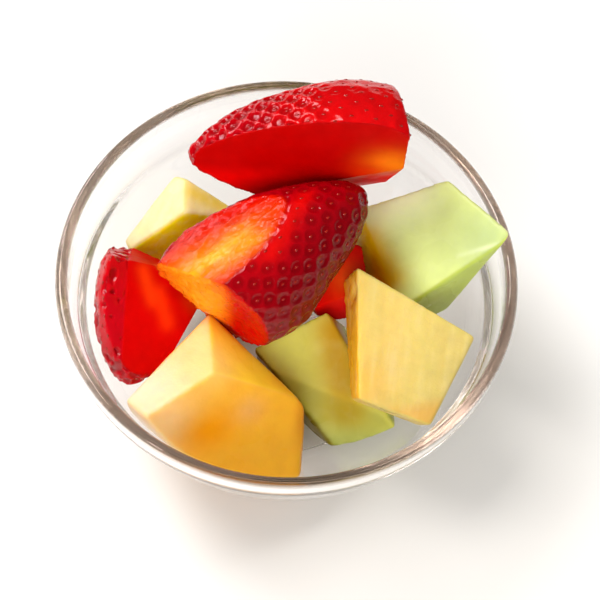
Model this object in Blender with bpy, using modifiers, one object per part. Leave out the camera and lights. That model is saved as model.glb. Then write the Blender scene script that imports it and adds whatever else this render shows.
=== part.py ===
"""Fruit salad in a small clear glass bowl: four strawberry pieces, two honeydew chunks, two pineapple
chunks and a cantaloupe chunk, heaped a little above the rim.

Metres, +Z up. The origin is the middle of the bowl's base, on the surface that it stands on.
Run it with: blender --background --python part.py
"""

import math

import bmesh
import bpy
from mathutils import Vector

MM = 0.001

# ---- Driving sizes of the bowl -------------------------------------------------------------------
RIM_RADIUS = 50.0 * MM
BOWL_HEIGHT = 46.0 * MM
RIM_WALL = 2.7 * MM
BODY_WALL = 2.6 * MM
FLOOR_WALL = 3.2 * MM
COLLAR_HEIGHT = 8.0 * MM  # the upright band under the rim, down to the stacking ledge
LEDGE_HEIGHT = 2.0 * MM
COLLAR_DRAFT = 0.7 * MM  # how far the collar leans in by its foot
BODY_RADIUS = 47.0 * MM  # the body is part of a ball
BODY_CENTRE_DROP = 4.0 * MM  # the ball's centre below the rim
PUNT_RADIUS = 15.0 * MM  # the shallow hollow under the base
PUNT_DEPTH = 0.7 * MM
FOOT_ROUND = 0.6 * MM
LEDGE_ROUND = 0.2 * MM  # how far the collar's inner foot stands above its outer foot
ARC_STEPS = 9
RIM_STEPS = 6
TURN_STEPS = 48
TURN_MERGE = 0.05 * MM  # points on the axis this close are one

# ---- Sizes of the fruit --------------------------------------------------------------------------
BLOCK_SIZE = 90.0 * MM  # the block that a chunk with flat sides only is cut from
RIND_RADIUS = 48.0 * MM  # the ball that a chunk with a rounded rind side is cut from
RIND_GAP = 1.3 * MM  # between a chunk's rind side and the bowl
RIND_SIDES = 96
CHUNK_ROUND = {"honeydew": 1.2 * MM, "cantaloupe": 1.0 * MM, "pineapple": 0.8 * MM}
ROUND_STEPS = 2
ROUND_OVER = math.radians(15.0)  # edges that turn more than this are rounded
BERRY_RINGS = 14
BERRY_SIDES = 28
SHOULDER = 0.3  # how far down a berry is widest, as a share of its length
WELD = 0.15 * MM
CUT_SNAP = 0.0001 * MM  # a point this near a cut lies on it
SMOOTH_BELOW = math.radians(32.0)

# Each piece is a blank cut down by knife cuts, all in the bowl's frame. A cut is (heading, climb,
# reach): the way the cut face looks, in degrees round from +X and up from level, and its distance
# from the piece's middle in mm. A chunk is cut from a block, or, where it names a "rind" side
# (heading, climb), from a ball that lies against the bowl on that side.
CHUNKS = {
    "pineapple_slab": {
        "fruit": "pineapple",
        "middle": (25.0, -11.0, 31.5),
        "cuts": (
            (-75, 57, 6.0),
            (-170, 7, 9.8),
            (-107, -20, 11.7),
            (-16, -19, 12.4),
            (66, 11, 10.9),
            (125, -68, 5.5),
        ),
    },
    "pineapple_chunk": {
        "fruit": "pineapple",
        "middle": (-26.0, 16.0, 32.0),
        "cuts": (
            (179, 56, 6.7),
            (10, 64, 9.9),
            (-71, 13, 2.9),
            (137, -17, 5.7),
            (65, 10, 11.0),
            (215, -15, 10.0),
            (-60, -60, 12.0),
        ),
    },
    "honeydew_front": {
        "fruit": "honeydew",
        "middle": (11.0, -9.5, 16.0),
        "rind": (-60, -40),
        "cuts": (
            (-79, 49, 7.4),
            (-92, 26, 7.2),
            (-133, -10, 9.6),
            (24, 24, 8.4),
            (118, 3, 9.0),
            (40, -12, 13.3),
            (0, -90, 12.2),
        ),
    },
    "honeydew_back": {
        "fruit": "honeydew",
        "middle": (30.0, 13.5, 37.0),
        "cuts": (
            (-144, 58, 4.8),
            (-61, -3, 10.5),
            (-153, 20, 9.5),
            (44, -14, 7.9),
            (6, -24, 10.3),
            (93, -9, 9.7),
            (246, -11, 13.2),
            (20, -50, 13.0),
            (0, -80, 14.0),
        ),
    },
    "cantaloupe": {
        "fruit": "cantaloupe",
        "middle": (-12.0, -21.0, 26.5),
        "rind": (-122, -35),
        "cuts": (
            (25, 53, 11.8),
            (147, 72, 16.3),
            (-57, 33, 10.0),
            (144, 9, 13.6),
            (54, 2, 9.4),
            (0, 0, 17.8),
            (0, -90, 22.7),
        ),
    },
}

# A berry piece is cut from a whole berry, whose tip points along (heading, climb). Its outline below
# the shoulder is a cosine to the power "blunt": the lower, the rounder the tip.
BERRIES = {
    "strawberry_top": {
        "length": 54.0,
        "radius": 16.3,
        "blunt": 0.63,
        "middle": (3.8, 23.3, 58.3),
        "tip": (184, 0),
        "cuts": ((-90, 8, 3.4), (14, -5, 18.2), (-78, -22, 6.0)),
    },
    "strawberry_middle": {
        "length": 53.0,
        "radius": 15.0,
        "blunt": 0.54,
        "middle": (-5.0, 2.0, 48.5),
        "tip": (36, 13),
        "cuts": ((156, 60, 10.6), (-120, -6, 13.8), (142, -55, 14.0), (90, -8, 16.0)),
    },
    "strawberry_side": {
        "length": 34.0,
        "radius": 13.0,
        "blunt": 0.62,
        "middle": (-30.0, -5.5, 35.5),
        "tip": (-104, -22),
        "cuts": ((-38, 55, 3.0), (70, 40, 10.0), (-20, -20, 9.4), (60, -40, 9.0)),
    },
    "strawberry_under": {
        "length": 26.0,
        "radius": 9.2,
        "blunt": 0.62,
        "middle": (9.0, 8.5, 32.0),
        "tip": (150, 0),
        "cuts": ((-60, 60, 3.0), (27, -20, 6.8), (298, 12, 6.2)),
    },
}

# Principled settings: base colour, roughness, transmission and index of refraction.
FINISHES = {
    "glass": ((0.96, 0.98, 0.98), 0.02, 1.0, 1.5),
    "honeydew": ((0.62, 0.75, 0.29), 0.28, 0.0, 1.38),
    "cantaloupe": ((1.0, 0.55, 0.16), 0.3, 0.0, 1.38),
    "pineapple": ((0.91, 0.7, 0.26), 0.32, 0.0, 1.38),
    "strawberry": ((0.62, 0.01, 0.02), 0.2, 0.0, 1.38),
}


def toward(heading, climb):
    """The unit vector that looks along a heading and a climb, both in degrees."""
    around, up = math.radians(heading), math.radians(climb)
    return Vector((math.cos(around) * math.cos(up), math.sin(around) * math.cos(up), math.sin(up)))


def arc(middle, radius, start, end, steps):
    """Points (x, z) along an arc about `middle`, from one angle in degrees to another, ends included."""
    return [
        (
            middle[0] + radius * math.cos(math.radians(start + (end - start) * i / steps)),
            middle[1] + radius * math.sin(math.radians(start + (end - start) * i / steps)),
        )
        for i in range(steps + 1)
    ]


def ball_angle(radius, drop):
    """The angle below level, in degrees, at which a ball of this radius lies `drop` below its centre."""
    return -math.degrees(math.asin(drop / radius))


def bowl_profile():
    """The wall's outline at +X, from the inner floor's middle up, over the rim and down to the axis."""
    ball_height = BOWL_HEIGHT - BODY_CENTRE_DROP
    inner_radius = BODY_RADIUS - BODY_WALL
    rim_round = RIM_WALL / 2
    rim_middle = (RIM_RADIUS - rim_round, BOWL_HEIGHT - rim_round)
    collar_foot = BOWL_HEIGHT - COLLAR_HEIGHT
    ledge_foot = collar_foot - LEDGE_HEIGHT
    ledge_drop = ball_height - ledge_foot
    ball = (0.0, ball_height)

    floor = [(0.0, FLOOR_WALL)]
    inner = arc(
        ball,
        inner_radius,
        ball_angle(inner_radius, ball_height - FLOOR_WALL),
        ball_angle(inner_radius, ledge_drop),
        ARC_STEPS,
    )
    inner_collar = [(RIM_RADIUS - RIM_WALL - COLLAR_DRAFT, collar_foot + LEDGE_ROUND)]
    rim = arc(rim_middle, rim_round, 180.0, 0.0, RIM_STEPS)
    outer_collar = [(RIM_RADIUS - COLLAR_DRAFT, collar_foot)]
    outer = arc(
        ball,
        BODY_RADIUS,
        ball_angle(BODY_RADIUS, ledge_drop),
        ball_angle(BODY_RADIUS, ball_height - FOOT_ROUND),
        ARC_STEPS,
    )
    foot_radius = outer[-1][0] - FOOT_ROUND
    foot = [(foot_radius, 0.0), (PUNT_RADIUS + PUNT_DEPTH, 0.0), (PUNT_RADIUS, PUNT_DEPTH)]
    axis = [(0.0, PUNT_DEPTH)]
    return floor + inner + inner_collar + rim + outer_collar + outer + foot + axis


def add_object(name, mesh, collection, material):
    """An object of this mesh and material, in the collection."""
    shape = bpy.data.objects.new(name, mesh)
    mesh.materials.append(material)
    collection.objects.link(shape)
    return shape


def finish_shading(mesh):
    """Smooth shading everywhere but at the sharp edges."""
    for polygon in mesh.polygons:
        polygon.use_smooth = True
    mesh.set_sharp_from_angle(angle=SMOOTH_BELOW)


def add_bowl(collection, material):
    mesh = bpy.data.meshes.new("bowl")
    outline = bowl_profile()
    mesh.from_pydata(
        [(x, 0.0, z) for x, z in outline], [(i, i + 1) for i in range(len(outline) - 1)], []
    )
    shape = add_object("bowl", mesh, collection, material)
    turn = shape.modifiers.new("turn", "SCREW")
    turn.axis = "Z"
    turn.angle = math.tau
    turn.screw_offset = 0.0
    turn.steps = TURN_STEPS
    turn.render_steps = TURN_STEPS
    turn.use_merge_vertices = True
    turn.merge_threshold = TURN_MERGE
    turn.use_smooth_shade = True
    turn.use_normal_calculate = False
    return shape


def knife_cut(shape, point, normal):
    """Cuts off what lies on the normal's side of the point and closes the cut with a flat face."""
    found = bmesh.ops.bisect_plane(
        shape,
        geom=shape.verts[:] + shape.edges[:] + shape.faces[:],
        dist=CUT_SNAP,
        plane_co=point,
        plane_no=normal,
        clear_outer=True,
    )
    edges = [piece for piece in found["geom_cut"] if isinstance(piece, bmesh.types.BMEdge)]
    bmesh.ops.edgeloop_fill(shape, edges=edges)


def cut_down(shape, cuts):
    for heading, climb, reach in cuts:
        way = toward(heading, climb)
        knife_cut(shape, way * reach * MM, way)
    bmesh.ops.remove_doubles(shape, verts=shape.verts[:], dist=WELD)
    bmesh.ops.recalc_face_normals(shape, faces=shape.faces[:])


def add_rind_ball(shape, middle, rind):
    """A ball whose side toward the rind lies against the bowl, placed as seen from the chunk's middle."""
    bowl_ball = Vector((0, 0, BOWL_HEIGHT - BODY_CENTRE_DROP))
    inside = BODY_RADIUS - BODY_WALL - RIND_GAP
    ball_middle = bowl_ball - toward(*rind) * (RIND_RADIUS - inside)
    bmesh.ops.create_uvsphere(
        shape, u_segments=RIND_SIDES, v_segments=RIND_SIDES // 2, radius=RIND_RADIUS
    )
    bmesh.ops.translate(shape, verts=shape.verts[:], vec=ball_middle - middle)


def add_chunk(name, plan, collection, material):
    middle = Vector(plan["middle"]) * MM
    shape = bmesh.new()
    if "rind" in plan:
        add_rind_ball(shape, middle, plan["rind"])
    else:
        bmesh.ops.create_cube(shape, size=BLOCK_SIZE)
    cut_down(shape, plan["cuts"])
    mesh = bpy.data.meshes.new(name)
    shape.to_mesh(mesh)
    shape.free()
    finish_shading(mesh)
    chunk = add_object(name, mesh, collection, material)
    chunk.location = middle
    rounding = chunk.modifiers.new("rounding", "BEVEL")
    rounding.width = CHUNK_ROUND[plan["fruit"]]
    rounding.segments = ROUND_STEPS
    rounding.limit_method = "ANGLE"
    rounding.angle_limit = ROUND_OVER
    return chunk


def berry_radius(along, radius, blunt):
    """How wide a whole berry is at a share of its length, from its shoulder end to its tip."""
    if along < SHOULDER:
        return radius * math.sqrt(1 - ((SHOULDER - along) / SHOULDER) ** 2)
    taper = (along - SHOULDER) / (1 - SHOULDER)
    return radius * math.cos(taper * math.pi / 2) ** blunt


def add_berry(name, plan, collection, material):
    length, radius = plan["length"] * MM, plan["radius"] * MM
    shape = bmesh.new()
    rings = []
    for i in range(1, BERRY_RINGS):
        along = (1 - math.cos(math.pi * i / BERRY_RINGS)) / 2
        wide = berry_radius(along, radius, plan["blunt"])
        rings.append(
            [
                shape.verts.new(
                    (
                        wide * math.cos(math.tau * k / BERRY_SIDES),
                        wide * math.sin(math.tau * k / BERRY_SIDES),
                        (along - 0.5) * length,
                    )
                )
                for k in range(BERRY_SIDES)
            ]
        )
    ends = (shape.verts.new((0, 0, -length / 2)), shape.verts.new((0, 0, length / 2)))
    for k in range(BERRY_SIDES):
        after = (k + 1) % BERRY_SIDES
        shape.faces.new((ends[0], rings[0][after], rings[0][k]))
        shape.faces.new((ends[1], rings[-1][k], rings[-1][after]))
        for low, high in zip(rings, rings[1:]):
            shape.faces.new((low[k], low[after], high[after], high[k]))
    turn = Vector((0, 0, 1)).rotation_difference(toward(*plan["tip"]))
    bmesh.ops.rotate(shape, verts=shape.verts[:], cent=(0, 0, 0), matrix=turn.to_matrix())
    cut_down(shape, plan["cuts"])
    mesh = bpy.data.meshes.new(name)
    shape.to_mesh(mesh)
    shape.free()
    finish_shading(mesh)
    berry = add_object(name, mesh, collection, material)
    berry.location = Vector(plan["middle"]) * MM
    return berry


def add_material(name):
    colour, roughness, transmission, ior = FINISHES[name]
    material = bpy.data.materials.new(name)
    material.use_nodes = True
    shader = material.node_tree.nodes["Principled BSDF"]
    shader.inputs["Base Color"].default_value = (*colour, 1.0)
    shader.inputs["Roughness"].default_value = roughness
    shader.inputs["Transmission Weight"].default_value = transmission
    shader.inputs["IOR"].default_value = ior
    material.diffuse_color = (*colour, 1.0)
    return material


def main():
    for shape in list(bpy.data.objects):
        bpy.data.objects.remove(shape)
    salad = bpy.data.collections.new("fruit_salad")
    bpy.context.scene.collection.children.link(salad)
    add_bowl(salad, add_material("glass"))
    for name, plan in CHUNKS.items():
        add_chunk(name, plan, salad, add_material(plan["fruit"]))
    for name, plan in BERRIES.items():
        add_berry(name, plan, salad, add_material("strawberry"))


main()
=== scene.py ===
import math

import bmesh
import bpy
import numpy as np
from mathutils import Matrix, Vector
from mathutils.bvhtree import BVHTree


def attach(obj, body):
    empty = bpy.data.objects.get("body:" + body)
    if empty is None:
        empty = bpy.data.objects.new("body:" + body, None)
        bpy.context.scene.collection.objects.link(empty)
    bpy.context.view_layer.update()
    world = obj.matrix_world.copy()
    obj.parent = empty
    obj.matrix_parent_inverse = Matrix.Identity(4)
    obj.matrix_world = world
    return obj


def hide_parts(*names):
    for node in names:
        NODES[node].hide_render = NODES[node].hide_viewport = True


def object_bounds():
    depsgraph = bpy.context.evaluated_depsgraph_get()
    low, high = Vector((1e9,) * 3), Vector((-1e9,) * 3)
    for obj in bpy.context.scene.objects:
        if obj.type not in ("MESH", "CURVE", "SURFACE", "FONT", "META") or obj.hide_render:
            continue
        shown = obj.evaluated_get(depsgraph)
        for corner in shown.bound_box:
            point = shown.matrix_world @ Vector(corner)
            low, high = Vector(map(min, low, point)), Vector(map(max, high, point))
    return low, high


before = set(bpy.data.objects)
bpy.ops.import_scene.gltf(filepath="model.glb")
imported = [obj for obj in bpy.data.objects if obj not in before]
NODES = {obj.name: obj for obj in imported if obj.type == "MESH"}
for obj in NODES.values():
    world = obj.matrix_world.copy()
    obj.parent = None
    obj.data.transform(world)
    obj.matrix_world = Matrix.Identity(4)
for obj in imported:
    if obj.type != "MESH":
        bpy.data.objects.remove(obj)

MM = 0.001
CAD_BOX = [list(map(float, corner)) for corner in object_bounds()]


# ---- Small helpers -------------------------------------------------------------------------------
def srgb(r, g, b):
    """A colour given as 0..255 in sRGB, as linear numbers."""
    out = []
    for c in (r, g, b):
        c = c / 255.0
        out.append(c / 12.92 if c <= 0.04045 else ((c + 0.055) / 1.055) ** 2.4)
    return np.array(out)


def toward(heading, climb):
    a, u = math.radians(heading), math.radians(climb)
    return np.array((math.cos(a) * math.cos(u), math.sin(a) * math.cos(u), math.sin(u)))


def smooth_step(x, low, high):
    t = np.clip((x - low) / (high - low), 0.0, 1.0)
    return t * t * (3 - 2 * t)


def hashed(cells, seed):
    """A number in 0..1 for each whole-number cell, always the same."""
    n = (
        cells[:, 0].astype(np.int64) * 374761393
        + cells[:, 1].astype(np.int64) * 668265263
        + cells[:, 2].astype(np.int64) * 2147483647
        + seed * 974634777
    )
    n = (n ^ (n >> 13)) * 1274126177 & 0x7FFFFFFF
    n = n ^ (n >> 16)
    return (n & 0xFFFF) / 65535.0


def lumps(points, size, seed=0):
    """Smooth noise in -1..1 at points in mm, with lumps about `size` mm across."""
    p = points / size
    base = np.floor(p).astype(np.int64)
    f = p - base
    f = f * f * (3 - 2 * f)
    total = np.zeros(len(p))
    for dx in (0, 1):
        for dy in (0, 1):
            for dz in (0, 1):
                weight = (
                    (f[:, 0] if dx else 1 - f[:, 0])
                    * (f[:, 1] if dy else 1 - f[:, 1])
                    * (f[:, 2] if dz else 1 - f[:, 2])
                )
                total += weight * hashed(base + np.array((dx, dy, dz)), seed)
    return total * 2 - 1


def layers(points, size, seed=0, count=3):
    """Noise of several sizes added together."""
    total, share = np.zeros(len(points)), 0.0
    for k in range(count):
        total += lumps(points, size / 2**k, seed + 11 * k) / 2**k
        share += 1 / 2**k
    return total / share


def spot(points, middle, radius):
    """1 at `middle`, fading softly to 0 over `radius` mm. The radius may differ along X, Y and Z."""
    gap = (points - np.array(middle)) / np.array(radius)
    return np.exp(-np.sum(gap * gap, axis=1))


def streak(points, start, end, radius):
    """1 on the line between two points, fading to 0 over `radius` mm."""
    a, b = np.array(start, float), np.array(end, float)
    along = np.clip(((points - a) @ (b - a)) / np.sum((b - a) ** 2), 0, 1)
    gap = np.linalg.norm(points - (a + along[:, None] * (b - a)), axis=1) / radius
    return np.exp(-gap * gap)


def tint(colours, other, amount):
    """Mixes a colour into an array of colours."""
    return colours + (np.asarray(other) - colours) * np.clip(amount, 0, 1)[:, None]


def facing(normals, way, low, high):
    return smooth_step(normals @ np.asarray(way), low, high)


def read_points(mesh):
    flat = np.empty(len(mesh.vertices) * 3)
    mesh.vertices.foreach_get("co", flat)
    return flat.reshape(-1, 3) / MM


def read_normals(mesh):
    flat = np.empty(len(mesh.vertices) * 3)
    mesh.vertex_normals.foreach_get("vector", flat)
    return flat.reshape(-1, 3)


def write_points(mesh, points):
    points = np.clip(points, np.array(CAD_BOX[0]) / MM, np.array(CAD_BOX[1]) / MM)
    mesh.vertices.foreach_set("co", (points * MM).ravel())
    mesh.update()


def fine_copy(name, node, voxel, soften):
    """A fine even mesh of a CAD solid, its edges softened, as a new object."""
    rough = bpy.data.objects.new(name + "_rough", NODES[node].data.copy())
    bpy.context.scene.collection.objects.link(rough)
    rough.data.materials.clear()
    remesh = rough.modifiers.new("remesh", "REMESH")
    remesh.mode = "VOXEL"
    remesh.voxel_size = voxel * MM
    if soften:
        smooth = rough.modifiers.new("soften", "SMOOTH")
        smooth.factor = 0.5
        smooth.iterations = soften
    shape = bpy.data.meshes.new_from_object(
        rough.evaluated_get(bpy.context.evaluated_depsgraph_get())
    )
    bpy.data.objects.remove(rough)
    shape.name = name
    piece = bpy.data.objects.new(name, shape)
    bpy.context.scene.collection.objects.link(piece)
    return piece


def paint(piece, colours):
    """Stores a colour at each vertex, which the material takes as its base."""
    layer = piece.data.color_attributes.new("flesh", "FLOAT_COLOR", "POINT")
    full = np.ones((len(colours), 4), np.float32)
    full[:, :3] = np.clip(colours, 0, 1)
    layer.data.foreach_set("color", full.ravel())


def finish_piece(piece, slot, *nodes):
    for polygon in piece.data.polygons:
        polygon.use_smooth = True
    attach(piece, "root")
    if nodes:
        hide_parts(*nodes)


# ---- Materials -----------------------------------------------------------------------------------
def new_material(name):
    material = bpy.data.materials.new(name)
    material.use_nodes = True
    tree = material.node_tree
    return material, tree, tree.nodes["Principled BSDF"]


def noise(tree, scale, detail=3.0):
    """Noise over the object's own coordinates, in metres."""
    place = tree.nodes.new("ShaderNodeTexCoord")
    node = tree.nodes.new("ShaderNodeTexNoise")
    node.inputs["Scale"].default_value = scale
    node.inputs["Detail"].default_value = detail
    tree.links.new(place.outputs["Object"], node.inputs["Vector"])
    return node.outputs["Fac"]


def mapped(tree, value, low, high, new_low, new_high):
    """Carries a value from one range to another."""
    node = tree.nodes.new("ShaderNodeMapRange")
    node.inputs["From Min"].default_value = low
    node.inputs["From Max"].default_value = high
    node.inputs["To Min"].default_value = new_low
    node.inputs["To Max"].default_value = new_high
    tree.links.new(value, node.inputs["Value"])
    return node.outputs["Result"]


def bumped(tree, shader, height, strength, depth):
    """Makes the surface look uneven by up to `depth` mm."""
    node = tree.nodes.new("ShaderNodeBump")
    node.inputs["Strength"].default_value = strength
    node.inputs["Distance"].default_value = depth * MM
    tree.links.new(height, node.inputs["Height"])
    tree.links.new(node.outputs["Normal"], shader.inputs["Normal"])


def ramped(tree, value, first, last, start=0.0, end=1.0):
    """A colour that goes from `first` to `last` as a value goes from `start` to `end`."""
    node = tree.nodes.new("ShaderNodeValToRGB")
    for element, place, colour in zip(node.color_ramp.elements, (start, end), (first, last)):
        element.position = place
        element.color = (*colour, 1)
    tree.links.new(value, node.inputs["Fac"])
    return node.outputs["Color"]


FLESH_IOR = 1.38
WET_PATCH = 0.4  # the scale of the noise for wet patches, as a share of the colour's
BUMP_DEPTH = 0.2


def flesh_material(name, roughness, scatter, radius, grain, grain_size, bump, vary, shine):
    """Wet fruit: the vertex colour varied a little by noise, light scattered inside, fine bumps.

    `radius` is how far red, green and blue light travels inside, in mm. `grain` is the scale of the
    colour's noise, and `grain_size` the size of the bumps in mm.
    """
    material, tree, shader = new_material(name)
    colour = tree.nodes.new("ShaderNodeAttribute")
    colour.attribute_name = "flesh"
    scale = tree.nodes.new("ShaderNodeVectorMath")
    scale.operation = "SCALE"
    strength = mapped(tree, noise(tree, grain, 4.0), 0.3, 0.7, 1.0 - vary, 1.0 + vary * 0.5)
    tree.links.new(colour.outputs["Color"], scale.inputs[0])
    tree.links.new(strength, scale.inputs["Scale"])
    tree.links.new(scale.outputs["Vector"], shader.inputs["Base Color"])
    wet = noise(tree, grain * WET_PATCH, 2.0)
    gloss = mapped(tree, wet, 0.35, 0.65, roughness * 0.7, roughness * 1.35)
    tree.links.new(gloss, shader.inputs["Roughness"])
    bumped(tree, shader, noise(tree, 1.0 / (grain_size * MM)), bump, BUMP_DEPTH)
    shader.inputs["Subsurface Weight"].default_value = scatter
    shader.inputs["Subsurface Radius"].default_value = [reach * MM for reach in radius]
    shader.inputs["Subsurface Scale"].default_value = 1.0
    shader.inputs["IOR"].default_value = FLESH_IOR
    shader.inputs["Specular IOR Level"].default_value = shine
    return material


def seed_material():
    material, tree, shader = new_material("strawberry_seed")
    colour = ramped(tree, noise(tree, 900.0), srgb(132, 6, 8), srgb(178, 40, 24))
    tree.links.new(colour, shader.inputs["Base Color"])
    shader.inputs["Roughness"].default_value = 0.15
    return material


GLASS_IOR = 1.42
GLASS_CLEAR, GLASS_RIM_SHADE = (0.975, 0.968, 0.962), (0.42, 0.28, 0.2)
GLASS_SHADE = (0.8, 0.785, 0.765)  # what of a lamp's light comes through to the fruit and the floor
RIM_SHADE_FROM, RIM_SHADE_TO = 1.2, 0.2  # the rim's tint grows between these depths below its top


def glass_material():
    """Clear glass that lets the lamps' light through to what is inside it."""
    material, tree, shader = new_material("clear_glass")
    # The rim's top is painted brown-grey, a painted reflection standing in for the dark bands that thick
    # glass seen through its length shows.
    place = tree.nodes.new("ShaderNodeTexCoord")
    split = tree.nodes.new("ShaderNodeSeparateXYZ")
    tree.links.new(place.outputs["Object"], split.inputs["Vector"])
    low, high = (BOWL_HEIGHT - RIM_SHADE_FROM) * MM, (BOWL_HEIGHT - RIM_SHADE_TO) * MM
    height = mapped(tree, split.outputs["Z"], low, high, 0.0, 1.0)
    tree.links.new(ramped(tree, height, GLASS_CLEAR, GLASS_RIM_SHADE), shader.inputs["Base Color"])
    shader.inputs["Roughness"].default_value = 0.0
    shader.inputs["IOR"].default_value = GLASS_IOR
    shader.inputs["Transmission Weight"].default_value = 1.0
    bumped(tree, shader, noise(tree, 60.0, 1.0), 0.04, 1.0)
    clear = tree.nodes.new("ShaderNodeBsdfTransparent")
    clear.inputs["Color"].default_value = (*GLASS_SHADE, 1)
    path = tree.nodes.new("ShaderNodeLightPath")
    either = tree.nodes.new("ShaderNodeMath")
    either.operation = "MAXIMUM"
    mix = tree.nodes.new("ShaderNodeMixShader")
    out = tree.nodes["Material Output"]
    tree.links.new(path.outputs["Is Shadow Ray"], either.inputs[0])
    tree.links.new(path.outputs["Is Diffuse Ray"], either.inputs[1])
    tree.links.new(either.outputs["Value"], mix.inputs["Fac"])
    tree.links.new(shader.outputs["BSDF"], mix.inputs[1])
    tree.links.new(clear.outputs["BSDF"], mix.inputs[2])
    tree.links.new(mix.outputs["Shader"], out.inputs["Surface"])
    return material


# ---- Bowl ----------------------------------------------------------------------------------------
RIM_RADIUS, BOWL_HEIGHT = 50.0, 46.0
RIM_WALL, BODY_WALL, FLOOR_WALL = 2.7, 2.6, 3.2
COLLAR_HEIGHT, LEDGE_HEIGHT, COLLAR_DRAFT = 8.0, 2.0, 0.7
BODY_RADIUS, BODY_CENTRE_DROP = 47.0, 4.0
PUNT_RADIUS, PUNT_DEPTH, FOOT_ROUND = 15.0, 0.7, 0.6
LEDGE_EASE = 2.6  # how far above and below the ledge its curve reaches
BOWL_SIDES, WALL_STEPS, RIM_STEPS = 256, 40, 18
BASE_ROUND = 0.4


def arc(middle, radius, start, end, steps):
    return [
        (
            middle[0] + radius * math.cos(math.radians(start + (end - start) * i / steps)),
            middle[1] + radius * math.sin(math.radians(start + (end - start) * i / steps)),
        )
        for i in range(steps + 1)
    ]


def ease(start, start_way, end, end_way, steps=16):
    """A smooth curve of (x, z) points from one point and direction to another, ends left out."""
    p0, p1 = np.array(start, float), np.array(end, float)
    reach = np.linalg.norm(p1 - p0)
    t0 = np.array(start_way, float) / np.linalg.norm(start_way) * reach
    t1 = np.array(end_way, float) / np.linalg.norm(end_way) * reach
    out = []
    for i in range(1, steps):
        t = i / steps
        out.append(
            tuple(
                (2 * t**3 - 3 * t**2 + 1) * p0
                + (t**3 - 2 * t**2 + t) * t0
                + (3 * t**2 - 2 * t**3) * p1
                + (t**3 - t**2) * t1
            )
        )
    return out


def soft_path(points, reach, steps=5):
    """Rounds each inner corner of a path of (x, z) points by a small curve."""
    out = [points[0]]
    for before, here, after in zip(points, points[1:], points[2:]):
        a, b, c = (np.array(p, float) for p in (before, here, after))
        to_a, to_c = a - b, c - b
        cut_a = b + to_a * min(reach / np.linalg.norm(to_a), 0.45)
        cut_c = b + to_c * min(reach / np.linalg.norm(to_c), 0.45)
        for i in range(steps + 1):
            t = i / steps
            out.append(tuple((1 - t) ** 2 * cut_a + 2 * t * (1 - t) * b + t * t * cut_c))
    out.append(points[-1])
    return out


def add_bowl():
    def below(radius, height):
        return -math.degrees(math.asin(height / radius))

    ball_height = BOWL_HEIGHT - BODY_CENTRE_DROP
    inner_radius = BODY_RADIUS - BODY_WALL
    collar_foot = BOWL_HEIGHT - COLLAR_HEIGHT
    drop = ball_height - collar_foot + LEDGE_HEIGHT + LEDGE_EASE
    ball = (0.0, ball_height)
    upright = (COLLAR_DRAFT, COLLAR_HEIGHT)
    floor_turn, inner_turn = below(inner_radius, ball_height - FLOOR_WALL), below(inner_radius, drop)
    outer_turn, foot_turn = below(BODY_RADIUS, drop), below(BODY_RADIUS, ball_height - FOOT_ROUND)
    half_rim = RIM_WALL / 2
    inner = arc(ball, inner_radius, floor_turn, inner_turn, WALL_STEPS)
    rim = arc((RIM_RADIUS - half_rim, BOWL_HEIGHT - half_rim), half_rim, 180.0, 0.0, RIM_STEPS)
    outer = arc(ball, BODY_RADIUS, outer_turn, foot_turn, WALL_STEPS)
    foot_edge = outer[-1][0] - FOOT_ROUND
    foot = [(foot_edge, 0.0), (PUNT_RADIUS + PUNT_DEPTH, 0.0), (PUNT_RADIUS, PUNT_DEPTH)]
    foot_up = collar_foot + LEDGE_EASE
    lean = COLLAR_DRAFT * (BOWL_HEIGHT - foot_up) / COLLAR_HEIGHT
    collar_in = (RIM_RADIUS - RIM_WALL - lean, foot_up)
    collar_out = (RIM_RADIUS - lean, foot_up)
    inside = ease(inner[-1], (drop, inner[-1][0]), collar_in, upright) + [collar_in]
    outside = ease(outer[0], (drop, outer[0][0]), collar_out, upright) + [collar_out]
    under_middle = (0.0, PUNT_DEPTH)
    base = soft_path(outer[-2:] + foot + [under_middle], BASE_ROUND)[1:-1]
    outline = [(0.0, FLOOR_WALL)] + inner + inside + rim
    outline += outside[::-1] + outer[:-2] + base + [under_middle]

    shape = bmesh.new()
    rings = []
    turns = [math.tau * k / BOWL_SIDES for k in range(BOWL_SIDES)]
    for x, z in outline:
        if x == 0.0:
            rings.append([shape.verts.new((0, 0, z * MM))])
        else:
            ring = [(x * MM * math.cos(turn), x * MM * math.sin(turn), z * MM) for turn in turns]
            rings.append([shape.verts.new(place) for place in ring])
    for low, high in zip(rings, rings[1:]):
        for k in range(BOWL_SIDES):
            j = (k + 1) % BOWL_SIDES
            if len(low) == 1:
                shape.faces.new((low[0], high[k], high[j]))
            elif len(high) == 1:
                shape.faces.new((low[j], low[k], high[0]))
            else:
                shape.faces.new((low[j], low[k], high[k], high[j]))
    bmesh.ops.recalc_face_normals(shape, faces=shape.faces[:])
    mesh = bpy.data.meshes.new("glass_bowl")
    shape.to_mesh(mesh)
    shape.free()
    mesh.materials.append(glass_material())
    piece = bpy.data.objects.new("glass_bowl", mesh)
    bpy.context.scene.collection.objects.link(piece)
    finish_piece(piece, "glass", "bowl")


# ---- Chunks of melon and pineapple ---------------------------------------------------------------
# A colour function starts from one flesh colour and mixes others in, each on a face, at a spot or along a
# streak. Places are in mm in the bowl's frame, and directions are the faces' outward normals.
LUMP_SIZE, DENT_SIZE = 6.0, 1.6
DENT_SHARE = 0.25


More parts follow.
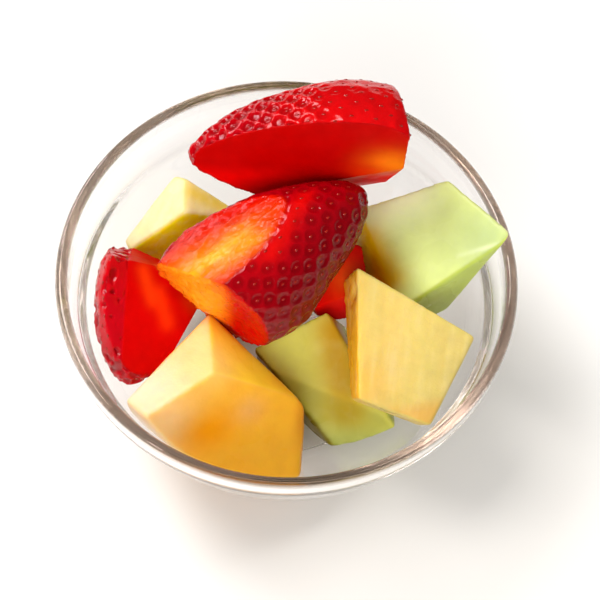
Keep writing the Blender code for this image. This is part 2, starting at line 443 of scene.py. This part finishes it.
def add_chunk(node, slot, material, colour_of, lump=0.15, relief=None, voxel=0.4, soften=10):
    piece = fine_copy(node + "_flesh", node, voxel, soften)
    mesh = piece.data
    points, normals = read_points(mesh), read_normals(mesh)
    push = lump * (layers(points, LUMP_SIZE, 3) + DENT_SHARE * layers(points, DENT_SIZE, 9))
    if relief:
        push = push + relief(points, normals)
    write_points(mesh, points + normals * push[:, None])
    paint(piece, colour_of(points, normals))
    mesh.materials.append(material)
    finish_piece(piece, slot, node)


CANTALOUPE_TOP, CANTALOUPE_RIGHT = (-0.26, 0.17, 0.95), (0.55, 0.25, 0.80)
CANTALOUPE_FRONT = (0.46, -0.70, 0.54)
CANTALOUPE_HOLLOW_DEPTH = 0.9


def cantaloupe_colour(p, n):
    front = facing(n, CANTALOUPE_FRONT, 0.8, 0.97)
    c = np.tile(srgb(255, 186, 78), (len(p), 1))
    # Painted light: the top face and the left end are painted paler where the lamp falls on them, and the
    # right and front faces deeper orange as painted shade.
    c = tint(c, srgb(255, 206, 142), facing(n, CANTALOUPE_TOP, 0.80, 0.99) * 0.85)
    c = tint(c, srgb(253, 208, 160), spot(p, (-27, -29, 40), 9) * 0.7)
    c = tint(c, srgb(255, 204, 44), facing(n, CANTALOUPE_RIGHT, 0.82, 0.99) * 0.9)
    c = tint(c, srgb(245, 150, 30), spot(p, (3, -16, 33), 7) * 0.5)
    c = tint(c, srgb(255, 184, 34), front * 0.8)
    # The left end and the ridge are painted pale as painted highlight, with a deeper patch of painted
    # shade under the left end.
    c = tint(c, srgb(255, 238, 218), spot(p, (-27, -28, 32), (7.5, 8, 9)))
    c = tint(c, srgb(255, 208, 40), spot(p, (-22, -33, 25), 5) * 0.8)
    c = tint(c, srgb(255, 216, 136), spot(p, (-15, -20, 43), (6, 6, 5)) * 0.6)
    # The front has a deep orange hollow and a paler pit beside it, and its right edge is darkened as
    # painted shade.
    c = tint(c, srgb(255, 160, 0), spot(p, (-14.0, -32, 32.5), (8, 7, 5)) * front)
    c = tint(c, srgb(240, 178, 104), spot(p, (-6.1, -26.5, 32.8), 3.6) * front * 0.6)
    c = tint(c, srgb(216, 140, 20), spot(p, (5.2, -24, 26), (1.5, 6, 10)) * 0.8)
    return tint(c, srgb(232, 128, 24), np.clip(layers(p, 5, 5), 0, 1) * 0.25)


def cantaloupe_relief(p, n):
    hollow = spot(p, (-15.4, -31.8, 33.7), (7, 6, 4.5))
    return -CANTALOUPE_HOLLOW_DEPTH * hollow * facing(n, CANTALOUPE_FRONT, 0.75, 0.95)


HONEYDEW_FRONT_TOP, HONEYDEW_FRONT_LEFT = (0.13, -0.64, 0.75), (-0.67, -0.72, -0.17)


def honeydew_front_colour(p, n):
    c = np.tile(srgb(206, 214, 90), (len(p), 1))
    # Painted light: the top face is painted paler where the lamp falls on it.
    c = tint(c, srgb(228, 222, 112), facing(n, HONEYDEW_FRONT_TOP, 0.8, 0.98) * 0.7)
    # A painted shadow of the pineapple slab runs down its middle as a deep yellow streak.
    c = tint(c, srgb(200, 150, 0), streak(p, (11, -4, 30), (15, -17, 17), 4.4) * 0.9)
    c = tint(c, srgb(206, 190, 10), spot(p, (14, -17, 17), 4.5) * 0.5)
    c = tint(c, srgb(192, 206, 114), smooth_step(-p[:, 2], -14, -8) * 0.75)
    # Painted shade: the face turned down and to the left is painted dark olive.
    c = tint(c, srgb(120, 108, 0), facing(n, HONEYDEW_FRONT_LEFT, 0.5, 0.85))
    return tint(c, srgb(236, 236, 150), np.clip(layers(p, 4, 7), 0, 1) * 0.3)


HONEYDEW_BACK_TOP, HONEYDEW_BACK_LOW = (-0.43, -0.31, 0.85), (0.48, -0.87, 0.0)
HONEYDEW_BACK_LEFT = toward(-153, 20)


def honeydew_back_colour(p, n):
    left = facing(n, HONEYDEW_BACK_LEFT, 0.86, 0.96)
    c = np.tile(srgb(206, 214, 120), (len(p), 1))
    # Painted light: the top face is painted paler, and a pale streak across its upper left is painted
    # light where a berry's shadow falls.
    c = tint(c, srgb(216, 228, 148), facing(n, HONEYDEW_BACK_TOP, 0.75, 0.97) * 0.9)
    c = tint(c, srgb(184, 200, 138), spot(p, (43, 11, 48), 8) * 0.8)
    c = tint(c, srgb(244, 255, 200), streak(p, (19, 21, 39), (27, 23, 44), 5.5) * 0.9)
    # A painted highlight: a thin pale line along the ridge above the lower face.
    c = tint(c, srgb(240, 246, 205), streak(p, (36.5, 8.3, 44.8), (45.6, 9.4, 49.2), 0.55) * 0.8)
    c = tint(c, srgb(192, 210, 96), facing(n, HONEYDEW_BACK_LOW, 0.55, 0.85) * 0.9)
    # Painted shade: where it faces the berries it is painted yellow, with deep amber streaks along its
    # left side.
    c = tint(c, srgb(238, 226, 70), left)
    c = tint(c, srgb(226, 160, 0), streak(p, (17, 15, 38), (20, 6, 33.5), 3.6) * left)
    return tint(c, srgb(226, 184, 0), streak(p, (17.5, 15, 36.5), (22.5, 6, 36.5), 3.6) * 0.95)


FIBRE_SIZE, FIBRE_STRETCH, FIBRE_RELIEF = 1.5, 0.88, 0.07


def fibres(p, along, seed):
    """Fine long grain that runs along a direction."""
    way = np.asarray(along, float)
    way = way / np.linalg.norm(way)
    squeezed = p - (p @ way)[:, None] * way * FIBRE_STRETCH
    return layers(squeezed, FIBRE_SIZE, seed, 3)


SLAB_GRAIN, SLAB_GRAIN_SEED = (-0.05, -0.84, -0.53), 21
SLAB_FRONT, SLAB_SIDE = (0.14, -0.53, 0.84), (-0.98, -0.17, 0.12)
SLAB_EDGE = 14.6  # where along X the front meets the left side
SLAB_LEAN = 0.08  # the front's bands lean this much from the Y axis


def slab_colour(p, n):
    front, side = facing(n, SLAB_FRONT, 0.75, 0.97), facing(n, SLAB_SIDE, 0.7, 0.95)
    grain = fibres(p, SLAB_GRAIN, SLAB_GRAIN_SEED)
    across = p[:, 0] + SLAB_LEAN * p[:, 1]
    c = np.tile(srgb(238, 214, 124), (len(p), 1))
    c = tint(c, srgb(255, 216, 112), smooth_step(-across, -19.5, -14.5) * 0.9)
    c = tint(c, srgb(240, 206, 118), spot(p, (23, -13, 38), (4, 14, 14)) * front * 0.8)
    c = tint(c, srgb(230, 208, 122), smooth_step(across, 27, 34) * front * 0.8)
    c = tint(c, srgb(252, 196, 90), spot(p, (18, -19, 34), 4.5) * front * 0.7)
    c = tint(c, srgb(250, 186, 84), smooth_step(-p[:, 2], -32.0, -30.0) * front * 0.6)
    # Painted shade: the left side is painted deep orange, and at the end every other face is painted a
    # tenth darker than it.
    c = tint(c, srgb(255, 184, 34), side)
    c = tint(c, srgb(252, 220, 130), spot(p, (SLAB_EDGE, -1.2, 43), 2.2) * 0.7)
    c = tint(c, srgb(252, 232, 176), np.clip(grain, 0, 1) * 0.45)
    c = tint(c, srgb(226, 182, 80), np.clip(-grain, 0, 1) * 0.35)
    return c * (0.9 + 0.1 * side)[:, None]


def slab_relief(p, n):
    """Juice sacs on the left side, chips along its edge and a notch near its upper end."""
    sacs = 0.22 * np.clip(lumps(p, 1.5, 33), 0, 1) * facing(n, SLAB_SIDE, 0.5, 0.9)
    edge = np.exp(-(((p[:, 0] - SLAB_EDGE) / 1.1) ** 2))
    chips = -0.25 * np.clip(lumps(p, 2.2, 41), 0, 1) * edge
    notch = -1.1 * spot(p, (14.3, -1.3, 42.4), (1.5, 1.6, 2.0))
    return sacs + chips + notch + FIBRE_RELIEF * fibres(p, SLAB_GRAIN, SLAB_GRAIN_SEED)


CHUNK_GRAIN, CHUNK_GRAIN_SEED = (0.1, 0.9, 0.42), 25
CHUNK_LEFT, CHUNK_RIGHT, CHUNK_LOW = (-0.56, 0.01, 0.83), (0.48, -0.28, 0.83), (0.32, -0.92, 0.22)


def pineapple_chunk_colour(p, n):
    grain = fibres(p, CHUNK_GRAIN, CHUNK_GRAIN_SEED)
    c = np.tile(srgb(238, 216, 140), (len(p), 1))
    # Painted light: the left and right upper faces are painted pale cream where the lamp falls on them.
    c = tint(c, srgb(244, 226, 174), facing(n, CHUNK_LEFT, 0.8, 0.98) * 0.9)
    c = tint(c, srgb(246, 222, 160), facing(n, CHUNK_RIGHT, 0.8, 0.98) * 0.9)
    c = tint(c, srgb(240, 206, 60), streak(p, (-22, 22, 40.5), (-12, 20, 36), 2.0) * 0.8)
    # Painted shade: the low front face, in shade under the berry, is painted saturated yellow.
    c = tint(c, srgb(255, 236, 10), facing(n, CHUNK_LOW, 0.7, 0.92))
    c = tint(c, srgb(255, 248, 215), np.clip(grain, 0, 1) * 0.3)
    return tint(c, srgb(226, 190, 90), np.clip(-grain, 0, 1) * 0.25)


def pineapple_chunk_relief(p, n):
    return FIBRE_RELIEF * fibres(p, CHUNK_GRAIN, CHUNK_GRAIN_SEED)


# ---- Strawberries --------------------------------------------------------------------------------
SHOULDER = 0.3  # the widest place, as a share of the length
BERRIES = {
    "strawberry_top": {
        "length": 54.0, "radius": 16.3, "blunt": 0.63,
        "middle": (3.8, 23.3, 58.3), "tip": (184, 0), "seed_gap": 3.4,
    },
    "strawberry_middle": {
        "length": 53.0, "radius": 15.0, "blunt": 0.54,
        "middle": (-5.0, 2.0, 48.5), "tip": (36, 13), "seed_gap": 3.6,
    },
    "strawberry_side": {
        "length": 34.0, "radius": 13.0, "blunt": 0.62,
        "middle": (-30.0, -5.5, 35.5), "tip": (-104, -22), "seed_gap": 3.0,
    },
    "strawberry_under": {
        "length": 26.0, "radius": 9.2, "blunt": 0.62,
        "middle": (9.0, 8.5, 32.0), "tip": (150, 0), "seed_gap": 2.6,
    },
}
SEED_SIZE = (0.50, 0.27, 0.22)  # half of its length, width and height
SEED_SINK = 0.05
SEED_REACH = 0.9  # a seed is left out when the cut piece is further away than this
SEED_JITTER = 0.12
STEEPEST = 6
GOLDEN = math.pi * (3 - math.sqrt(5))


def berry_radius(share, radius, blunt):
    share = np.clip(share, 0.0, 1.0)
    head = np.sqrt(np.clip(1 - ((SHOULDER - share) / SHOULDER) ** 2, 0, 1))
    taper = np.clip((share - SHOULDER) / (1 - SHOULDER), 0, 1)
    tail = np.cos(taper * math.pi / 2) ** blunt
    return radius * np.where(share < SHOULDER, head, tail)


class Berry:
    """A whole berry's own frame: its axis runs from the shoulder end (share 0) to the tip (share 1)."""

    def __init__(self, name):
        plan = BERRIES[name]
        self.length, self.radius, self.blunt = plan["length"], plan["radius"], plan["blunt"]
        self.middle, self.seed_gap = np.array(plan["middle"], float), plan["seed_gap"]
        turn = Vector((0, 0, 1)).rotation_difference(Vector(toward(*plan["tip"])))
        self.turn = np.array(turn.to_matrix())

    def inward(self, points):
        """Points in the berry's own frame, their share along its axis and their distance from it."""
        own = (points - self.middle) @ self.turn
        return own, own[:, 2] / self.length + 0.5, np.hypot(own[:, 0], own[:, 1])

    def wide(self, share):
        return berry_radius(share, self.radius, self.blunt)

    def slope(self, share):
        step = 0.004
        return (self.wide(share + step) - self.wide(share - step)) / (2 * step * self.length)

    def outward(self, own):
        """The skin's normals at points in the berry's own frame, turned back to the bowl's frame."""
        share = own[:, 2] / self.length + 0.5
        around = np.hypot(own[:, 0], own[:, 1]) + 1e-9
        lean = -np.clip(self.slope(share), -STEEPEST, STEEPEST)
        normals = np.stack((own[:, 0] / around, own[:, 1] / around, lean), axis=1)
        normals /= np.linalg.norm(normals, axis=1)[:, None]
        return normals @ self.turn.T

    def seeds(self):
        """Places of the seeds on the skin, spread evenly by turning the golden angle each time."""
        shares = np.linspace(0.002, 0.998, 800)
        girth = math.tau * self.wide(shares)[:-1]
        strips = girth * np.sqrt(1 + self.slope(shares)[:-1] ** 2) * np.diff(shares) * self.length
        area = np.concatenate(([0], np.cumsum(strips)))
        count = int(area[-1] / (self.seed_gap * self.seed_gap * 0.87))
        wanted = (np.arange(count) + 0.5) / count * area[-1]
        share = np.interp(wanted, area, shares)
        angle = np.arange(count) * GOLDEN
        r = self.wide(share)
        own = np.stack((r * np.cos(angle), r * np.sin(angle), (share - 0.5) * self.length), axis=1)
        jitter = np.stack([lumps(own * 3.1, 1.3, 60 + k) for k in range(3)], axis=1)
        return own + jitter * self.seed_gap * SEED_JITTER


def nearest(points, targets, batch=4000):
    """Distance from each point to the nearest target, and which target."""
    best = np.empty(len(points))
    which = np.empty(len(points), int)
    for start in range(0, len(points), batch):
        part = points[start : start + batch]
        gaps = ((part[:, None, :] - targets[None]) ** 2).sum(axis=2)
        which[start : start + batch] = gaps.argmin(axis=1)
        best[start : start + batch] = np.sqrt(gaps.min(axis=1))
    return best, which


def even(p):
    return np.ones(len(p))


def nowhere(p):
    return np.zeros(len(p))


def dots(a, b):
    """The dot product of each row of one array with the same row of another."""
    return np.einsum("ij,ij->i", a, b)


def seed_mesh(places, outward, axis):
    """One low oval seed at each place, long way along the berry."""
    rings, sides = 5, 8
    half_length, half_width, height = SEED_SIZE
    verts, faces = [], []
    for place, out in zip(places, outward):
        long = axis - out * (axis @ out)
        long /= np.linalg.norm(long) + 1e-9
        cross = np.cross(out, long)
        first = len(verts)
        for i in range(1, rings):
            polar = math.pi * i / rings
            for k in range(sides):
                a = math.tau * k / sides
                taper = 1.0 - 0.35 * math.cos(polar)
                verts.append(
                    place
                    + long * half_length * math.cos(polar)
                    + cross * half_width * taper * math.sin(polar) * math.cos(a)
                    + out * (height * math.sin(polar) * math.sin(a) - SEED_SINK)
                )
        head, tail = len(verts), len(verts) + 1
        verts.append(place + long * half_length - out * SEED_SINK)
        verts.append(place - long * half_length - out * SEED_SINK)
        for k in range(sides):
            j = (k + 1) % sides
            faces.append((head, first + k, first + j))
            last = first + (rings - 2) * sides
            faces.append((tail, last + j, last + k))
            for i in range(rings - 2):
                a = first + i * sides
                faces.append((a + j, a + k, a + sides + k, a + sides + j))
    mesh = bpy.data.meshes.new("seeds")
    mesh.from_pydata([tuple(v * MM) for v in verts], [], faces)
    mesh.validate()
    return mesh


SKIN_NEAR, SKIN_FAR = 0.35, 0.75  # skin fades out between these distances from the whole berry's outline
END_SHARE = 0.03
PIT_RIM, PIT_FLOOR = 0.52, 0.24  # a pit's reach, as shares of the gap between seeds
CUT_EDGE_RED, PIT_RED = srgb(176, 4, 6), srgb(110, 0, 6)


def skin_share(berry, points, normals):
    """1 where the cut piece still has the berry's skin and 0 on its cut faces."""
    own, share, around = berry.inward(points)
    out = berry.outward(own)
    sideways = (own * (1, 1, 0) / (around[:, None] + 1e-9)) @ berry.turn.T
    shell = np.abs(berry.wide(share) - around) * np.abs(dots(out, sideways))
    skin = smooth_step(-shell, -SKIN_FAR, -SKIN_NEAR) * smooth_step(dots(out, normals), 0.72, 0.93)
    ends = (share < END_SHARE) | (share > 1 - END_SHARE)
    return np.where(ends & (dots(out, normals) > 0.6), 1.0, skin)


def give_faces(mesh, skin):
    """Gives the second material to the faces that are mostly skin."""
    corners = np.empty(len(mesh.loops), int)
    mesh.loops.foreach_get("vertex_index", corners)
    starts = np.empty(len(mesh.polygons), int)
    mesh.polygons.foreach_get("loop_start", starts)
    share = np.add.reduceat(skin[corners], starts) / np.diff(np.append(starts, len(corners)))
    mesh.polygons.foreach_set("material_index", (share > 0.5).astype(np.int32))


def add_seeds(node, berry, piece, points, skin, material):
    """Seeds on the piece, each kept where the cut piece still has its skin."""
    tree = BVHTree.FromObject(piece, bpy.context.evaluated_depsgraph_get())
    places = berry.seeds()
    kept, ways = [], []
    for place, way in zip(places @ berry.turn.T + berry.middle, berry.outward(places)):
        hit, normal, _, gap = tree.find_nearest(Vector(place * MM))
        if hit is None or gap > SEED_REACH * MM:
            continue
        seat = np.array(hit) / MM
        closest = nearest(seat[None], points)[1][0]
        if np.array(normal) @ way < 0.8 or skin[closest] < 0.7:
            continue
        kept.append(seat)
        ways.append(way)
    seeds = bpy.data.objects.new(node + "_seeds", seed_mesh(kept, ways, berry.turn[:, 2]))
    bpy.context.scene.collection.objects.link(seeds)
    write_points(seeds.data, read_points(seeds.data))
    seeds.data.materials.append(material)
    finish_piece(seeds, "strawberry")


def add_berry(node, materials, face_kind, face_colour, face_relief, depth, skin_colour, boldness=even,
              more_skin=nowhere, swell=nowhere, soften=3, voxel=0.28):
    berry = Berry(node)
    gap = berry.seed_gap
    piece = fine_copy(node + "_flesh", node, voxel, soften)
    mesh = piece.data
    points, normals = read_points(mesh), read_normals(mesh)
    own, share, around = berry.inward(points)
    wide = berry.wide(share)
    extra = more_skin(points)
    skin = np.maximum(skin_share(berry, points, normals), extra)

    distance, _ = nearest(own, berry.seeds())
    pit = smooth_step(-distance, -PIT_RIM * gap, -PIT_FLOOR * gap)
    # Skin that isn't on the whole berry's outline has pits from noise instead.
    loose_pit = smooth_step(lumps(points, 1.7, 77), 0.1, 0.4)
    pit = (pit + (loose_pit - pit) * extra) * boldness(points)
    web = 0.12 * layers(points, 2.6, 4, 2) + 0.34 * layers(points, 7.0, 8, 2)
    push = skin * (web - depth * pit) + (1 - skin) * face_relief(points, normals) + swell(points)
    write_points(mesh, points + normals * push[:, None])

    edge = smooth_step(around - wide, -1.3, -0.1)
    cut = tint(face_colour(points, normals), CUT_EDGE_RED, edge * 0.75)
    # Painted shade: the skin is painted darker red in its pits.
    outside = tint(skin_colour(points, share), PIT_RED, pit * 0.4)
    paint(piece, cut * (1 - skin[:, None]) + outside * skin[:, None])
    mesh.materials.append(materials[face_kind])
    mesh.materials.append(materials["skin"])
    give_faces(mesh, skin)
    finish_piece(piece, "strawberry", node)
    add_seeds(node, berry, piece, points, skin, materials["seed"])


def top_face(p, n):
    c = np.tile(srgb(188, 0, 0), (len(p), 1))
    c = tint(c, srgb(232, 0, 0), smooth_step(-p[:, 2], -59, -53))
    c = tint(c, srgb(244, 124, 10), spot(p, (21, 20.6, 61.0), (5.4, 5, 4.2)))
    c = tint(c, srgb(228, 34, 2), spot(p, (16, 20.6, 58.5), (5, 5, 2.6)) * 0.6)
    c = tint(c, srgb(185, 0, 0), streak(p, (2, 19.5, 56), (21, 22.6, 55.0), 1.0) * 0.5)
    return tint(c, srgb(170, 0, 2), np.clip(layers(p, 5, 2), 0, 1) * 0.3)


def gentle(p, n):
    return 0.12 * layers(p, 6.0, 17, 2)


def top_skin(p, share):
    c = np.tile(srgb(206, 4, 8), (len(p), 1))
    c = tint(c, srgb(180, 0, 14), smooth_step(-p[:, 0], 0, 10) * 0.8)
    return tint(c, srgb(160, 0, 10), np.clip(layers(p, 6, 3), 0, 1) * 0.5)


def top_boldness(p):
    return 0.1 + 0.9 * smooth_step(-p[:, 0], -9, 3)


MIDDLE_GRAIN = toward(36, 13)


def middle_face(p, n):
    c = np.tile(srgb(216, 26, 2), (len(p), 1))
    core = streak(p, (-20, -6, 52), (-9, 1, 59), 5.2)
    c = tint(c, srgb(255, 158, 16), core * 0.98)
    c = tint(c, srgb(255, 196, 50), streak(p, (-18, -5, 54), (-11, -1, 58), 2.4) * 0.5)
    c = tint(c, srgb(240, 70, 4), spot(p, (-4.9, 6, 59.8), 4) * 0.8)
    c = tint(c, srgb(212, 10, 2), streak(p, (-20, 6, 48), (-4, 14, 59), 3.2) * 0.95)
    c = tint(c, srgb(212, 8, 4), cut_edge(p) * 0.9)
    grain = layers(p - (p @ MIDDLE_GRAIN)[:, None] * MIDDLE_GRAIN * 0.75, 2.4, 31, 3)
    c = tint(c, srgb(214, 40, 0), np.clip(grain, 0, 1) * 0.6)
    shoulder = facing(n, toward(-120, -6), 0.6, 0.9)
    c = tint(c, srgb(255, 152, 24), shoulder * spot(p, (-19, -7, 47), 10) * 1.3)
    return tint(c, srgb(204, 0, 0), shoulder * smooth_step(p[:, 0], -14, -10))


def middle_relief(p, n):
    grain = layers(p - (p @ MIDDLE_GRAIN)[:, None] * MIDDLE_GRAIN * 0.5, 2.3, 31, 3)
    ridged = 1 - np.abs(grain) * 2.4
    return 0.62 * ridged - 0.34 + 0.3 * layers(p, 6, 18, 2)


def cut_edge(p):
    """Near the line where the wet cut meets the skin."""
    upper = streak(p, (3, 12, 62), (-3, -2.4, 61.5), 2.2)
    return np.maximum(upper, streak(p, (-3, -2.4, 61.5), (-14.3, -9.2, 52.9), 2.4))


def middle_boldness(p):
    return 1 - 0.9 * cut_edge(p)


def middle_swell(p):
    """The flesh sags onto the cantaloupe and the front honeydew below it."""
    return 2.0 * spot(p, (-17, -7.5, 45), 5) + 2.0 * spot(p, (3, -8.5, 41), 7)


def middle_skin(p, share):
    c = np.tile(srgb(160, 0, 12), (len(p), 1))
    c = tint(c, srgb(214, 8, 6), cut_edge(p) * 0.9)
    c = tint(c, srgb(210, 30, 8), smooth_step(-share, -0.2, 0.0) * 0.6)
    # Painted shade: the skin is painted darker on its right side, away from the lamp.
    c = tint(c, srgb(112, 0, 10), smooth_step(p[:, 0] - p[:, 1] * 0.6, 1, 10) * 0.75)
    return tint(c, srgb(176, 0, 6), smooth_step(-p[:, 2], -44, -38) * 0.6)


def side_face(p, n):
    c = np.tile(srgb(204, 0, 0), (len(p), 1))
    c = tint(c, srgb(200, 6, 0), facing(n, toward(70, 40), 0.7, 0.95) * 0.9)
    # Painted highlights: thin pale orange streaks near the cut's upper edge.
    c = tint(c, srgb(255, 150, 60), streak(p, (-28, 3.2, 41.5), (-20, -0.5, 36.5), 0.8) * 0.9)
    c = tint(c, srgb(250, 70, 8), streak(p, (-31.5, 1, 42), (-28.5, -5.0, 39.5), 1.6) * 0.6)
    c = tint(c, srgb(244, 60, 6), streak(p, (-27.5, -3, 39.3), (-25.5, -8, 35.3), 1.8) * 0.6)
    c = tint(c, srgb(244, 90, 10), spot(p, (-19, -1, 35), 3) * 0.6)
    return tint(c, srgb(190, 0, 0), smooth_step(-p[:, 1], 8, 16) * 0.4)


def side_more_skin(p):
    """The skin wraps a little over the cut's left rim."""
    return smooth_step(-p[:, 0], 34.2, 34.8)


def side_skin(p, share):
    c = np.tile(srgb(190, 4, 20), (len(p), 1))
    return tint(c, srgb(205, 10, 6), spot(p, (-36, 2, 43), 6) * 0.6)


def under_face(p, n):
    c = np.tile(srgb(226, 2, 2), (len(p), 1))
    return tint(c, srgb(255, 130, 30), spot(p, (14, 5, 37), 4) * 0.9)


def plain_skin(p, share):
    return np.tile(srgb(190, 8, 6), (len(p), 1))


# ---- Floor, camera and light ---------------------------------------------------------------------
CAMERA_CLIMB, CAMERA_ROLL, CAMERA_DISTANCE = 62.0, 3.776, 600.0
CAMERA_TARGET = (3.13, -5.893, 46.0)
CAMERA_LENS, CAMERA_SENSOR = 167.685, 36.0
FLOOR_HALF, FLOOR_GAP = 3.0, 0.00005
LIGHT_BOUNCES = 48  # enough for light to pass through the glass rim seen along its length
WORLD_LIGHT, WORLD_MIRRORED = 0.44, 0.08


def aim(obj, place, target):
    back = (Vector(place) - Vector(target)).normalized()
    obj.rotation_euler = back.to_track_quat("Z", "Y").to_euler()
    obj.location = Vector(place) * MM


def add_camera():
    e, r = math.radians(CAMERA_CLIMB), math.radians(CAMERA_ROLL)
    back = Vector((0, -math.cos(e), math.sin(e)))
    level = Vector((1, 0, 0))
    rise = back.cross(level)
    right = level * math.cos(r) + rise * math.sin(r)
    up = -level * math.sin(r) + rise * math.cos(r)
    camera = bpy.data.objects.new("camera", bpy.data.cameras.new("camera"))
    bpy.context.scene.collection.objects.link(camera)
    turned = Matrix((right, up, back)).transposed().to_4x4()
    turned.translation = Vector(CAMERA_TARGET) * MM + back * CAMERA_DISTANCE * MM
    camera.matrix_world = turned
    camera.data.sensor_width = CAMERA_SENSOR
    camera.data.lens = CAMERA_LENS
    camera.data.clip_start = 0.01
    bpy.context.scene.camera = camera


def add_floor():
    mesh = bpy.data.meshes.new("floor")
    corners = [(x * FLOOR_HALF, y * FLOOR_HALF, 0) for x, y in ((-1, -1), (1, -1), (1, 1), (-1, 1))]
    mesh.from_pydata(corners, [], [(0, 1, 2, 3)])
    floor = bpy.data.objects.new("floor", mesh)
    floor.location.z = -FLOOR_GAP
    bpy.context.scene.collection.objects.link(floor)
    material, tree, shader = new_material("floor_white")
    shader.inputs["Base Color"].default_value = (0.9, 0.885, 0.865, 1)
    shader.inputs["Roughness"].default_value = 0.9
    mesh.materials.append(material)


def add_lamp(name, place, size, power, colour, target=(0, 0, 40)):
    data = bpy.data.lights.new(name, "AREA")
    data.shape = "RECTANGLE"
    data.size, data.size_y = size[0] * MM, size[1] * MM
    data.energy = power
    data.color = colour
    lamp = bpy.data.objects.new(name, data)
    bpy.context.scene.collection.objects.link(lamp)
    aim(lamp, place, target)
    return lamp


def add_world():
    """An even room, warm and dim near the floor and white above it."""
    world = bpy.data.worlds.new("studio")
    bpy.context.scene.world = world
    world.use_nodes = True
    tree = world.node_tree
    sky = tree.nodes["Background"]
    place = tree.nodes.new("ShaderNodeTexCoord")
    split = tree.nodes.new("ShaderNodeSeparateXYZ")
    tree.links.new(place.outputs["Generated"], split.inputs["Vector"])
    colour = ramped(tree, split.outputs["Z"], (0.66, 0.5, 0.4), (1.0, 0.99, 0.97), start=0.02, end=0.35)
    tree.links.new(colour, sky.inputs["Color"])
    # Surfaces mirror a darker room than the one that lights them, as a studio's far walls do.
    path = tree.nodes.new("ShaderNodeLightPath")
    mirrored = tree.nodes.new("ShaderNodeMath")
    mirrored.operation = "SUBTRACT"
    mirrored.use_clamp = True
    tree.links.new(path.outputs["Is Glossy Ray"], mirrored.inputs[0])
    tree.links.new(path.outputs["Is Transmission Ray"], mirrored.inputs[1])
    strength = mapped(tree, mirrored.outputs["Value"], 0, 1, WORLD_LIGHT, WORLD_MIRRORED)
    tree.links.new(strength, sky.inputs["Strength"])


def add_light():
    """The window lamp is seen only in reflections and through glass, and the front fill isn't mirrored."""
    add_lamp("overhead", (-450, 300, 820), (370, 370), 7.6, (1.0, 0.99, 0.98))
    window = add_lamp("window", (-660, 650, 420), (380, 240), 4.2, (1.0, 0.9, 0.98))
    window.visible_diffuse = False
    fill = add_lamp("front_fill", (-120, -840, 560), (700, 700), 7.6, (1.0, 0.99, 0.97))
    fill.visible_glossy = False
    cycles = bpy.context.scene.cycles
    cycles.max_bounces = cycles.transmission_bounces = cycles.glossy_bounces = LIGHT_BOUNCES
    bpy.context.scene.view_settings.view_transform = "Standard"


def add_melon_and_pineapple():
    orange = flesh_material("cantaloupe_flesh", 0.34, 0.6, (3.5, 2.0, 0.5), 240, 0.7, 0.25, 0.05, 0.2)
    green = flesh_material("honeydew_flesh", 0.26, 0.6, (3.0, 3.0, 0.7), 220, 0.9, 0.15, 0.05, 0.3)
    pine = flesh_material("pineapple_flesh", 0.36, 0.55, (3.5, 2.4, 0.5), 300, 0.5, 0.35, 0.07, 0.25)
    add_chunk("cantaloupe", "cantaloupe", orange, cantaloupe_colour, 0.15, cantaloupe_relief, soften=34)
    add_chunk("honeydew_front", "honeydew", green, honeydew_front_colour, soften=26)
    add_chunk("honeydew_back", "honeydew", green, honeydew_back_colour, soften=22)
    add_chunk("pineapple_slab", "pineapple", pine, slab_colour, 0.14, slab_relief, voxel=0.32, soften=7)
    add_chunk("pineapple_chunk", "pineapple", pine, pineapple_chunk_colour,
              relief=pineapple_chunk_relief, soften=20)


def add_strawberries():
    deep, wet_deep = (3.0, 0.6, 0.2), (3.0, 0.8, 0.2)
    looks = {
        "skin": flesh_material("strawberry_skin", 0.12, 0.12, (1.8, 0.3, 0.2), 320, 0.9, 0.15, 0.12, 0.32),
        "smooth": flesh_material("strawberry_flesh", 0.5, 0.35, deep, 320, 0.9, 0.1, 0.08, 0.1),
        "wet": flesh_material("strawberry_wet_flesh", 0.12, 0.35, wet_deep, 320, 0.9, 0.9, 0.12, 0.22),
        "seed": seed_material(),
    }
    add_berry("strawberry_top", looks, "smooth", top_face, gentle, 0.7, top_skin, top_boldness)
    add_berry("strawberry_middle", looks, "wet", middle_face, middle_relief, 0.3, middle_skin,
              middle_boldness, swell=middle_swell, soften=14)
    add_berry("strawberry_side", looks, "smooth", side_face, gentle, 0.6, side_skin,
              more_skin=side_more_skin)
    add_berry("strawberry_under", looks, "smooth", under_face, gentle, 0.35, plain_skin)


def main():
    add_camera()
    add_floor()
    add_world()
    add_light()
    add_bowl()
    add_melon_and_pineapple()
    add_strawberries()


main()
